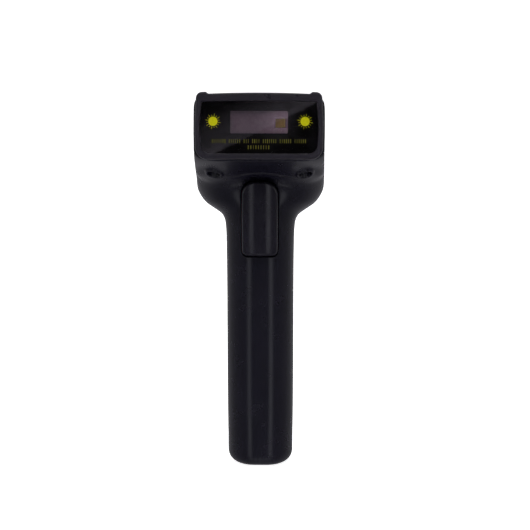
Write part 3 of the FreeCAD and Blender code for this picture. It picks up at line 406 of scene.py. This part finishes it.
# ------------------------------------------------------------------- trigger
def lever_field(x, y, z):
    ax = np.abs(x)
    hw = np.interp(z, [109, 112, 117, 130, 140, 149], [8.6, 8.7, 8.75, 8.78, 8.78, 8.75])
    side = ax - hw
    o = np.where(z < 130, round_cut(side, 109.8 - z, 2.6), round_cut(side, z - 146.85, 6.6))
    # the face: flat down the middle, then falling away to each side
    reach = np.interp(z, [109.3, 111.3, 115.3, 124, 132, 140, 144, 148.2], [22.6, 23.7, 24.35, 24.8, 25.1, 25.2, 25.1, 24.9])
    flank = 0.036 * np.maximum(ax - 2.0, 0) ** 2
    face = (-y - (reach - flank)) * 0.95
    f = round_cut(o, face, 1.1)
    f = round_cut(f, y + 12.0, 0.6)
    room = np.maximum(np.maximum(ax - 7.1, np.abs(z - 128.3) - 16.7), -(y + 21.6 - 0.1 * (ax / 7) ** 2 * 8))
    f = np.maximum(f, -room)
    rib = np.maximum(np.maximum(ax - 2.2, np.abs(z - 120) - 1.9), np.maximum(y + 15.0, -23.4 - y))
    nose = np.maximum(np.hypot(y + 15, z - 120) - 2.0, ax - 2.2)
    f = np.minimum(f, round_cut(np.minimum(rib, nose), ax - 2.2, 0.2))
    hub = round_cut(np.hypot(y + 14, z - 150) - 3.2, ax - 8.65, 0.3)
    web = np.maximum(np.abs(ax - 7.8) - 0.88, np.maximum(np.abs(y + 14.7) - 2.7, np.abs(z - 145.5) - 4.5))
    roof = np.maximum(ax - 8.6, np.maximum(np.abs(y + 16.5) - 0.9, np.abs(z - 147) - 2.0))
    lip = round_cut(np.maximum(ax - 4.0, np.abs(z - 108.8) - 2.65), np.abs(y + 16.4) - 0.78, 0.3)
    f = np.minimum(np.minimum(f, hub), np.minimum(np.minimum(web, roof), lip))
    return np.maximum(f, -(np.hypot(y + 14, z - 150) - 1.55))


# ------------------------------------------------- plate behind the window
def plate_field(x, y, z):
    f = round_cut(rect2(x, z - 164.55, 21.0, 8.05, 0.8), np.abs(y + 74.9) - 0.5, 0.15)
    port = rect2(x - 10.05, z - 165.45, 2.3, 2.1, 0.25)
    f = round_cut(f, -port, 0.12)
    # a raised frame round the port
    return np.minimum(f, np.maximum(np.abs(port - 0.35) - 0.3, np.maximum(-75.6 - y, y + 74.6)))


plate = field_mesh("port_plate", plate_field, (-22, -76.2, 156), (22, -73.9, 173.2), 0.22, mirror=False, head=True)
lever = field_mesh("trigger_lever", lever_field, (0, -27, 105), (10, -8, 155), 0.27)


# ------------------------------------------------------- marks on the window
FACE = -78.6                                  # front face of the window, head frame


def prism(verts, faces, x, z, loops, y_front=FACE - 0.035, y_back=FACE + 0.01):
    """Adds a thin closed plate whose outline is loops, in the x-z plane."""
    for loop in loops:
        n, k = len(loop), len(verts)
        verts += [(x + u, y_front, z + w) for u, w in loop] + [(x + u, y_back, z + w) for u, w in loop]
        faces.append([k + i for i in range(n)])
        faces.append([k + n + i for i in reversed(range(n))])
        faces += [[k + (i + 1) % n, k + i, k + n + i, k + n + (i + 1) % n] for i in range(n)]


def plates(name, items):
    verts, faces = [], []
    for x, z, loops in items:
        prism(verts, faces, x, z, loops)
    bm = bmesh.new()
    vs = [bm.verts.new((a / 1000, (b * CT + c * ST) / 1000, (-b * ST + c * CT) / 1000)) for a, b, c in verts]
    for f in faces:
        bm.faces.new([vs[i] for i in f])
    bmesh.ops.recalc_face_normals(bm, faces=bm.faces)
    me = bpy.data.meshes.new(name)
    bm.to_mesh(me)
    bm.free()
    return link(bpy.data.objects.new(name, me))


def disc(r, n=48):
    return [(r * math.cos(2 * math.pi * i / n), r * math.sin(2 * math.pi * i / n)) for i in range(n)]


def ray_ticks():
    out = []
    for k in range(16):
        a = 2 * math.pi * (k + 0.5) / 16
        r0, r1 = 2.55, (3.75 if k % 2 else 3.25)
        c, s = math.cos(a), math.sin(a)
        w0, w1 = 0.11, 0.04
        out.append([(r0 * c + w0 * s, r0 * s - w0 * c), (r1 * c + w1 * s, r1 * s - w1 * c),
                    (r1 * c - w1 * s, r1 * s + w1 * c), (r0 * c - w0 * s, r0 * s + w0 * c)])
    return out


ICON_X, ICON_Z = 21.7, 166.1
suns = plates("window_light_marks", [(sx * ICON_X, ICON_Z, [disc(2.18)] + ray_ticks()) for sx in (-1, 1)])


def bar(hu, hw, r=0.12, n=4):
    pts = []
    for cx, cz, a0 in ((hu - r, hw - r, 0), (-hu + r, hw - r, 90), (-hu + r, -hw + r, 180), (hu - r, -hw + r, 270)):
        for i in range(n + 1):
            a = math.radians(a0 + 90 * i / n)
            pts.append((cx + r * math.cos(a), cz + r * math.sin(a)))
    return pts


# two rows of plain upright strokes in groups, in place of the printed words
row_items = []


def strokes(x0, x1, z, tall, words, seed):
    r = np.random.default_rng(seed)
    total, x, k = x1 - x0, x0, 0
    unit = total / (sum(words) + 1.1 * (len(words) - 1))
    for n in words:
        for _ in range(n):
            wide = unit * float(r.choice([0.26, 0.34, 0.44]))
            row_items.append((x + unit / 2, z, [bar(wide / 2, tall / 2, 0.08, 2)]))
            x += unit
        x += 1.1 * unit


strokes(-22.4, 22.4, 156.8, 1.95, [7, 6, 3, 4, 7, 6, 6], 3)
strokes(-5.6, 5.2, 153.9, 1.85, [9], 5)
rows = plates("window_rows", row_items)


# ----------------------------------------------------------------- materials
def nodes_of(name):
    m = bpy.data.materials.new(name)
    m.use_nodes = True
    nt = m.node_tree
    nt.nodes.clear()
    out = nt.nodes.new("ShaderNodeOutputMaterial")
    return m, nt, out


def new(nt, kind, **props):
    n = nt.nodes.new(kind)
    for key, val in props.items():
        setattr(n, key, val)
    return n


def noise(nt, scale, detail=3.0, rough=0.55, dim="3D"):
    tc = nt.nodes.get("coords") or new(nt, "ShaderNodeTexCoord", name="coords")
    n = new(nt, "ShaderNodeTexNoise", noise_dimensions=dim)
    n.inputs["Scale"].default_value = scale
    n.inputs["Detail"].default_value = detail
    n.inputs["Roughness"].default_value = rough
    nt.links.new(tc.outputs["Object"], n.inputs["Vector"])
    return n.outputs["Fac"]


def ramp(nt, fac, stops):
    r = new(nt, "ShaderNodeValToRGB")
    e = r.color_ramp.elements
    e[0].position, e[0].color = stops[0]
    e[1].position, e[1].color = stops[-1]
    for pos, col in stops[1:-1]:
        s = e.new(pos)
        s.color = col
    nt.links.new(fac, r.inputs["Fac"])
    return r.outputs["Color"]


def mapped(nt, fac, a, b, lo=0.0, hi=1.0):
    m = new(nt, "ShaderNodeMapRange")
    for key, val in (("From Min", a), ("From Max", b), ("To Min", lo), ("To Max", hi)):
        m.inputs[key].default_value = val
    nt.links.new(fac, m.inputs["Value"])
    return m.outputs["Result"]


def bumped(nt, bsdf, fields):
    last = None
    for fac, dist, strength in fields:
        b = new(nt, "ShaderNodeBump")
        b.inputs["Strength"].default_value = strength
        b.inputs["Distance"].default_value = dist
        nt.links.new(fac, b.inputs["Height"])
        if last:
            nt.links.new(last, b.inputs["Normal"])
        last = b.outputs["Normal"]
    nt.links.new(last, bsdf.inputs["Normal"])


def moulded(name, base, rough, grain=4200.0, grain_depth=1.2e-5, spread=0.06, wear=0.5, specular=0.5, wave=0.0):
    """Moulded plastic: fine spark-eroded grain, slow colour and gloss drift,
    and edges rubbed a little lighter and smoother."""
    m, nt, out = nodes_of(name)
    p = new(nt, "ShaderNodeBsdfPrincipled")
    nt.links.new(p.outputs[0], out.inputs["Surface"])
    p.inputs["IOR"].default_value = 1.49
    p.inputs["Specular IOR Level"].default_value = specular
    dark = tuple(c * 0.86 for c in base) + (1,)
    light = tuple(c * 1.16 for c in base) + (1,)
    drift = noise(nt, 55.0, 4.0)
    col = ramp(nt, drift, [(0.3, dark), (0.7, light)])
    geo = new(nt, "ShaderNodeNewGeometry")
    edge = mapped(nt, geo.outputs["Pointiness"], 0.54, 0.64)
    scuff = noise(nt, 900.0, 5.0, 0.7)
    both = new(nt, "ShaderNodeMath", operation="MULTIPLY")
    nt.links.new(edge, both.inputs[0])
    nt.links.new(mapped(nt, scuff, 0.35, 0.65), both.inputs[1])
    amount = new(nt, "ShaderNodeMath", operation="MULTIPLY")
    amount.inputs[1].default_value = wear
    nt.links.new(both.outputs[0], amount.inputs[0])
    mix = new(nt, "ShaderNodeMix", data_type="RGBA")
    nt.links.new(amount.outputs[0], mix.inputs["Factor"])
    nt.links.new(col, mix.inputs["A"])
    mix.inputs["B"].default_value = tuple(c * 2.2 + 0.004 for c in base) + (1,)
    nt.links.new(mix.outputs["Result"], p.inputs["Base Color"])
    handled = noise(nt, 130.0, 4.0, 0.6)
    r0 = mapped(nt, handled, 0.3, 0.7, rough - spread, rough + spread)
    sub = new(nt, "ShaderNodeMath", operation="MULTIPLY_ADD")
    nt.links.new(amount.outputs[0], sub.inputs[0])
    sub.inputs[1].default_value = -0.09
    nt.links.new(r0, sub.inputs[2])
    nt.links.new(sub.outputs[0], p.inputs["Roughness"])
    fields = [(noise(nt, grain, 2.0, 0.6), grain_depth, 0.55)]
    if wave:
        fields.append((noise(nt, 90.0, 2.0), wave, 0.6))
    bumped(nt, p, fields)
    return m


def metal(name, base, rough, streak=None, scale=1500.0, depth=6e-6, metallic=1.0):
    m, nt, out = nodes_of(name)
    p = new(nt, "ShaderNodeBsdfPrincipled")
    nt.links.new(p.outputs[0], out.inputs["Surface"])
    p.inputs["Metallic"].default_value = metallic
    col = ramp(nt, noise(nt, 260.0, 4.0), [(0.3, tuple(c * 0.8 for c in base) + (1,)), (0.7, tuple(min(1, c * 1.12) for c in base) + (1,))])
    nt.links.new(col, p.inputs["Base Color"])
    nt.links.new(mapped(nt, noise(nt, 700.0, 4.0), 0.3, 0.7, rough * 0.75, rough * 1.3), p.inputs["Roughness"])
    fine = noise(nt, scale, 3.0, 0.65)
    bumped(nt, p, [(fine, depth, 0.5)])
    return m


def plain(name, a, b, rough, scale=300.0, depth=1.5e-5, bump_scale=2600.0, specular=0.5, detail=4.0, coat=0.0, metallic=0.0):
    m, nt, out = nodes_of(name)
    p = new(nt, "ShaderNodeBsdfPrincipled")
    nt.links.new(p.outputs[0], out.inputs["Surface"])
    p.inputs["Specular IOR Level"].default_value = specular
    p.inputs["Coat Weight"].default_value = coat
    p.inputs["Metallic"].default_value = metallic
    col = ramp(nt, noise(nt, scale, detail), [(0.35, tuple(a) + (1,)), (0.65, tuple(b) + (1,))])
    nt.links.new(col, p.inputs["Base Color"])
    nt.links.new(mapped(nt, noise(nt, scale * 2.1, 3.0), 0.3, 0.7, rough * 0.85, min(1, rough * 1.15)), p.inputs["Roughness"])
    bumped(nt, p, [(noise(nt, bump_scale, 2.0), depth, 0.5)])
    return m


def pane(name, tint, rough):
    """Polished glass that lamps shine through."""
    m, nt, out = nodes_of(name)
    p = new(nt, "ShaderNodeBsdfPrincipled")
    p.inputs["Transmission Weight"].default_value = 1.0
    p.inputs["IOR"].default_value = 1.5
    smear = noise(nt, 70.0, 3.0)
    nt.links.new(mapped(nt, smear, 0.35, 0.7, rough * 0.6, rough * 1.5), p.inputs["Roughness"])
    col = ramp(nt, noise(nt, 120.0, 3.0), [(0.3, tuple(c * 0.97 for c in tint) + (1,)), (0.7, tuple(tint) + (1,))])
    nt.links.new(col, p.inputs["Base Color"])
    bumped(nt, p, [(noise(nt, 30.0, 1.0), 4e-7, 0.2)])
    clear = new(nt, "ShaderNodeBsdfTransparent")
    clear.inputs["Color"].default_value = tuple(c ** 0.5 for c in tint) + (1,)
    path = new(nt, "ShaderNodeLightPath")
    mix = new(nt, "ShaderNodeMixShader")
    nt.links.new(path.outputs["Is Shadow Ray"], mix.inputs["Fac"])
    nt.links.new(p.outputs[0], mix.inputs[1])
    nt.links.new(clear.outputs[0], mix.inputs[2])
    nt.links.new(mix.outputs[0], out.inputs["Surface"])
    return m


def solder_mask(name):
    """Green board coating with copper runs and tinned pads showing through."""
    m, nt, out = nodes_of(name)
    p = new(nt, "ShaderNodeBsdfPrincipled")
    nt.links.new(p.outputs[0], out.inputs["Surface"])
    tc = new(nt, "ShaderNodeTexCoord", name="coords")
    vor = new(nt, "ShaderNodeTexVoronoi", feature="DISTANCE_TO_EDGE", distance="CHEBYCHEV")
    vor.inputs["Scale"].default_value = 420.0
    nt.links.new(tc.outputs["Object"], vor.inputs["Vector"])
    runs = mapped(nt, vor.outputs["Distance"], 0.04, 0.07)
    col = ramp(nt, runs, [(0.0, (0.02, 0.17, 0.06, 1)), (1.0, (0.006, 0.075, 0.03, 1))])
    dots = new(nt, "ShaderNodeTexVoronoi", feature="F1")
    dots.inputs["Scale"].default_value = 520.0
    nt.links.new(tc.outputs["Object"], dots.inputs["Vector"])
    pads = mapped(nt, dots.outputs["Distance"], 0.16, 0.12)
    mix = new(nt, "ShaderNodeMix", data_type="RGBA")
    nt.links.new(pads, mix.inputs["Factor"])
    nt.links.new(col, mix.inputs["A"])
    mix.inputs["B"].default_value = (0.55, 0.56, 0.55, 1)
    nt.links.new(mix.outputs["Result"], p.inputs["Base Color"])
    nt.links.new(mapped(nt, noise(nt, 300.0), 0.3, 0.7, 0.25, 0.4), p.inputs["Roughness"])
    bumped(nt, p, [(runs, -2e-5, 0.6)])
    return m


MAT = {
    "housing": moulded("housing_plastic", (0.0086, 0.0080, 0.0146), 0.25, grain_depth=7e-6, spread=0.035, wear=0.08, wave=5e-6),
    "bezel": moulded("bezel_plastic", (0.0220, 0.0194, 0.0272), 0.29, grain=5200.0, grain_depth=6e-6, spread=0.02, wear=0.1, specular=0.36),
    "lever": moulded("lever_plastic", (0.0118, 0.0106, 0.0175), 0.235, grain=5600.0, grain_depth=6e-6, spread=0.04, wear=0.15, wave=1e-5),
    "window": pane("window_glass", (0.86, 0.80, 0.85), 0.018),
    "window_print": plain("black_print", (0.0010, 0.0010, 0.0016), (0.0018, 0.0017, 0.0024), 0.45, 900.0, 3e-6, specular=0.1),
    "foam": plain("foam", (0.010, 0.010, 0.010), (0.03, 0.03, 0.03), 0.95, 2600.0, 8e-5, 3200.0, 0.2),
    "baffle": plain("baffle_plastic", (0.176, 0.136, 0.156), (0.208, 0.164, 0.186), 0.75, 500.0, 8e-6, 3000.0, 0.25),
    "steel": metal("steel", (0.56, 0.56, 0.57), 0.28),
    "black_steel": metal("black_steel", (0.016, 0.016, 0.019), 0.5),
    "spring_steel": metal("spring_steel", (0.5, 0.5, 0.5), 0.25, scale=2600.0),
    "zinc": metal("cast_zinc", (0.42, 0.42, 0.44), 0.5, scale=1800.0, depth=2e-5),
    "brass": metal("brass", (0.66, 0.46, 0.18), 0.25),
    "gold_mirror": plain("gold_mirror", (0.86, 0.66, 0.24), (0.95, 0.74, 0.30), 0.5, 300.0, 1e-6, 1200.0, 0.5, metallic=0.1),
    "collector": metal("collector_mirror", (0.75, 0.75, 0.78), 0.12, depth=2e-6),
    "lens": pane("lens_glass", (0.95, 0.97, 0.98), 0.012),
    "magnet": metal("nickel", (0.55, 0.53, 0.5), 0.22),
    "copper": metal("copper_winding", (0.62, 0.26, 0.11), 0.32, scale=3600.0, depth=4e-5),
    "nylon": plain("nylon", (0.02, 0.02, 0.02), (0.034, 0.034, 0.034), 0.55),
    "circuit": solder_mask("solder_mask"),
    "chip": plain("chip_epoxy", (0.010, 0.010, 0.011), (0.018, 0.018, 0.019), 0.6, 800.0, 1e-5, 4000.0),
    "can": metal("shield_can", (0.6, 0.6, 0.6), 0.3),
    "led": plain("led_epoxy", (0.75, 0.8, 0.75), (0.85, 0.9, 0.85), 0.2, 200.0, 3e-6),
    "light_pipe": plain("light_pipe", (0.50, 0.54, 0.56), (0.62, 0.66, 0.68), 0.28, 260.0, 6e-6, 2400.0, 0.5, coat=0.2),
    "cell": plain("cell_wrap", (0.03, 0.16, 0.42), (0.045, 0.20, 0.50), 0.3, 120.0, 1e-5),
    "wire": plain("wire", (0.38, 0.015, 0.015), (0.48, 0.03, 0.03), 0.35),
    "flex": plain("flex", (0.40, 0.19, 0.04), (0.50, 0.25, 0.06), 0.3),
    "switch_case": plain("switch_case", (0.018, 0.018, 0.019), (0.03, 0.03, 0.031), 0.5),
    "plunger": plain("acetal", (0.66, 0.66, 0.64), (0.74, 0.74, 0.72), 0.35),
}
MARK = plain("mark_yellow", (0.56, 0.54, 0.0), (0.66, 0.64, 0.004), 0.6, 1400.0, 4e-6, 5000.0, 0.15)
MARK_DIM = plain("mark_olive", (0.085, 0.082, 0.008), (0.125, 0.120, 0.014), 0.6, 1400.0, 4e-6, 5000.0, 0.15)

slot_of = {}
for part in frame["record"]["subparts"]:
    ms = part.get("materials") or part.get("material") or part.get("material_slots")
    slot_of[part.get("node") or part.get("name")] = ms
for name, obj in frame["nodes"].items():
    for i, ms in enumerate(obj.material_slots):
        key = ms.material.name.split(".")[0] if ms.material else None
        if key not in MAT:
            s = slot_of.get(name)
            key = s[0] if isinstance(s, list) and s else s
        if key in MAT:
            obj.material_slots[i].material = MAT[key]
        else:
            print("NO MATERIAL", name, key)
    if not obj.material_slots:
        print("NO SLOTS", name, slot_of.get(name))

# --------------------------------------------------------- pieces and bodies
for obj, body, mat, slot in ((front, "scanner", MAT["housing"], "housing"), (rear, "scanner", MAT["housing"], "housing"),
                             (bezel, "scanner", MAT["bezel"], "bezel"), (lever, "trigger", MAT["lever"], "lever"), (plate, "scanner", MAT["baffle"], "baffle"),
                             (suns, "scanner", MARK, "window_print"), (rows, "scanner", MARK_DIM, "window_print")):
    material_on(obj, mat)
    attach(obj, body)
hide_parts("front_housing")
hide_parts("rear_housing")
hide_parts("front_bezel")
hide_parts("trigger")
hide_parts("light_baffle")

# ---------------------------------------------------------- camera and light
target = Vector((0.00305, -0.05777, 0.11298))
AZ, EL, DIST = math.radians(0.8), math.radians(12.0), 0.9
cam = bpy.data.cameras.new("camera")
cam.sensor_width = 36.0
cam.lens = 130.07
cam.clip_start, cam.clip_end = 0.01, 60.0
cam_obj = link(bpy.data.objects.new("camera", cam))
cam_obj.location = target + Vector((math.sin(AZ) * math.cos(EL), -math.cos(AZ) * math.cos(EL), math.sin(EL))) * DIST
cam_obj.rotation_euler = (target - cam_obj.location).to_track_quat("-Z", "Y").to_euler()
scene.camera = cam_obj


def lamp(name, at, aim, size, power, size_y=None, color=(1, 1, 1), spread=180.0, gloss=True):
    li = bpy.data.lights.new(name, "AREA")
    li.shape = "RECTANGLE"
    li.size, li.size_y = size, size_y or size
    li.energy = power
    li.color = color
    li.spread = math.radians(spread)
    ob = link(bpy.data.objects.new(name, li))
    ob.location = at
    ob.rotation_euler = (Vector(aim) - Vector(at)).to_track_quat("-Z", "Y").to_euler()
    ob.visible_camera = False
    ob.visible_glossy = gloss
    return ob


def around(az, el, dist, centre=(0, -0.02, 0.10)):
    a, e = math.radians(az), math.radians(el)
    return Vector(centre) + Vector((math.sin(a) * math.cos(e), -math.cos(a) * math.cos(e), math.sin(e))) * dist


MID = (0, -0.02, 0.10)
for sx in (-1, 1):
    lamp("strip", around(sx * 18.05 - 0.45, -3, 0.95), MID, 0.25, 0.635 + 0.045 * sx, 1.1, (0.92, 0.93, 1.0))
    lamp("side", around(sx * 75, 20, 1.3), MID, 0.8, 1.0, 1.0, (0.97, 0.98, 1.0))
    lamp("back", around(sx * 140, 30, 1.3), MID, 1.0, 2.6, 1.1, (0.98, 0.99, 1.0))
lamp("key", around(0, 60, 1.0), (0, -0.03, 0.13), 0.5, 5.0, 0.5, (1.0, 0.99, 0.98), gloss=False)
lamp("top", (0, 0.25, 1.35), MID, 0.8, 1.8, 0.8)
lamp("bounce", around(0, -62, 0.8), (0, -0.03, 0.13), 0.5, 2.6, 0.3, (0.95, 0.94, 1.0), gloss=False)
lamp("lip", around(0, -56, 0.8), (0, -0.03, 0.13), 0.5, 0.10, 0.08, (0.95, 0.94, 1.0))
spot = bpy.data.lights.new("port_spot", "SPOT")
spot.energy, spot.spot_size, spot.spot_blend, spot.shadow_soft_size = 17.0, math.radians(1.0), 0.8, 0.004
spot_obj = link(bpy.data.objects.new("port_spot", spot))
spot_obj.location = HEAD @ Vector((-0.004, -0.95, 0.118))
aim = HEAD @ Vector((0.0101, -0.070, 0.1654))
spot_obj.rotation_euler = (aim - spot_obj.location).to_track_quat("-Z", "Y").to_euler()

# a grey card above the lens, whose straight edge shows across the window
CARD_AT, CARD_L = FACE - 400.0, 400.0 / 900.0


def card_point(x, z):
    return np.array([x + (x - 15.0) * CARD_L, z + (z - 98.5) * CARD_L])


e0, e1 = card_point(27.4, 175.1), card_point(-20.4, 151.1)
along = (e0 - e1) / np.linalg.norm(e0 - e1)
up = np.array([-along[1], along[0]])
for k in range(8):
    mid = (e0 + e1) / 2 + up * (1.6 + 3.2 * k)
    card = lamp("card_%d" % k, HEAD @ Vector((mid[0] / 1000, CARD_AT / 1000, mid[1] / 1000)), (0, 0, 0), 0.140,
                0.36 * (1 - k / 8.0) ** 1.2 * math.pi * 0.140 * 0.0032, 0.0032, (0.92, 0.86, 1.0))
    card.rotation_euler = (HEAD @ Matrix(((along[0], up[0], 0, 0), (0, 0, -1, 0), (along[1], up[1], 0, 0),
                                          (0, 0, 0, 1)))).to_euler()

world = bpy.data.worlds.new("studio")
world.use_nodes = True
wt = world.node_tree
wt.nodes.clear()
w_out, w_bg, w_tc = new(wt, "ShaderNodeOutputWorld"), new(wt, "ShaderNodeBackground"), new(wt, "ShaderNodeTexCoord")
w_xyz = new(wt, "ShaderNodeSeparateXYZ")
wt.links.new(w_tc.outputs["Generated"], w_xyz.inputs[0])
# dim in front of the object, lighter round the sides and behind it
w_pos = mapped(wt, w_xyz.outputs["Y"], -1.0, 1.0)
w_col = ramp(wt, w_pos, [(p, tuple(c * v for c in (0.96, 0.94, 1.0)) + (1,)) for p, v in
                         ((0.0, 0.003), (0.015, 0.007), (0.035, 0.035), (0.15, 0.115), (0.36, 0.15), (0.5, 0.20), (0.67, 0.28), (1.0, 0.36))])
wt.links.new(w_col, w_bg.inputs["Color"])
wt.links.new(mapped(wt, w_xyz.outputs["Z"], -0.7, -0.25, 0.85, 1.0), w_bg.inputs["Strength"])
wt.links.new(w_bg.outputs[0], w_out.inputs["Surface"])
scene.world = world
scene.view_settings.view_transform = "Standard"

# ------------------------------------------------------------------ the stage
def stage_plane(name, size, loc, rot, glow):
    me = bpy.data.meshes.new(name)
    s = size / 2
    me.from_pydata([(-s, -s, 0), (s, -s, 0), (s, s, 0), (-s, s, 0)], [], [(0, 1, 2, 3)])
    ob = link(bpy.data.objects.new(name, me))
    ob.location, ob.rotation_euler = loc, rot
    m, nt, out = nodes_of(name)
    p = new(nt, "ShaderNodeBsdfPrincipled")
    p.inputs["Base Color"].default_value = (0.9, 0.9, 0.9, 1)
    p.inputs["Roughness"].default_value = 0.9
    p.inputs["Emission Color"].default_value = (1, 1, 1, 1)
    p.inputs["Emission Strength"].default_value = glow
    nt.links.new(p.outputs[0], out.inputs["Surface"])
    ob.data.materials.append(m)
    ob.visible_glossy = False
    ob.visible_diffuse = False
    ob.visible_transmission = False
    ob.visible_shadow = False
    return ob


stage_plane("floor", 14.0, (0, 0, -0.0002), (0, 0, 0), 0.95)
for k in range(4):
    a = k * math.pi / 2
    stage_plane("backdrop_%d" % k, 30.0, (7.0 * math.sin(a), 7.0 * math.cos(a), 0), (math.radians(90), 0, -a), 1.3)
